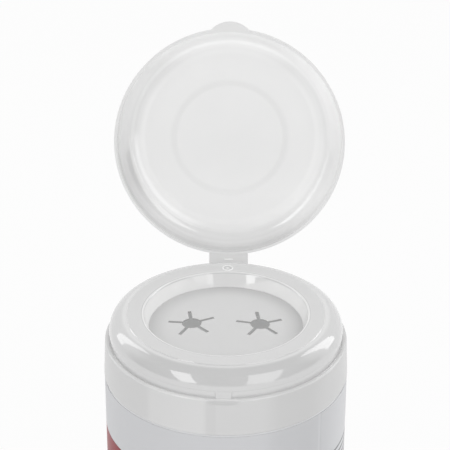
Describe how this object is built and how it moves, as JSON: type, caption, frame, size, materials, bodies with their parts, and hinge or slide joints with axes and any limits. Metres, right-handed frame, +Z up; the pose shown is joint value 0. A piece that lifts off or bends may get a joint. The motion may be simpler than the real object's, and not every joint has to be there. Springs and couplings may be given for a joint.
{
  "type": "wipes dispenser tub",
  "caption": "Round plastic tub of wet screen wipes with a clip-on closure, a dished top with star-shaped slits and a flip cap.",
  "frame": {"origin": "centre of the tub's flat base", "axes": "+Z up along the tub's axis, -Y towards the front of the closure with its thumb relief, +Y towards the hinge of the flip cap"},
  "size_m": [0.1036, 0.1434, 0.2388],
  "materials": {
    "tub_plastic": "satin white blow-moulded polyethylene",
    "label_film": "smooth white label film with a field of muted red",
    "wipes": "damp white nonwoven",
    "closure_plastic": "white moulded polypropylene, satin flat ring and glossy dome",
    "cap_plastic": "thin glossy white moulded polypropylene"
  },
  "bodies": {
    "tub_body": {"tub": "tub_plastic", "label": "label_film", "wipes_roll": "wipes"},
    "closure_body": {"closure": "closure_plastic"},
    "cap_body": {"flip_cap": "cap_plastic"}
  },
  "joints": [
    {"name": "lid_lift", "type": "slide", "parent": "tub_body", "child": "closure_body", "axis": [0, 0, 1], "range_m": [0, 0.04]},
    {"name": "flip_cap_hinge", "type": "hinge", "parent": "closure_body", "child": "cap_body", "pos_m": [0, 0.058, 0.1285], "axis": [1, 0, 0], "range_deg": [-70, 101.4]}
  ]
}
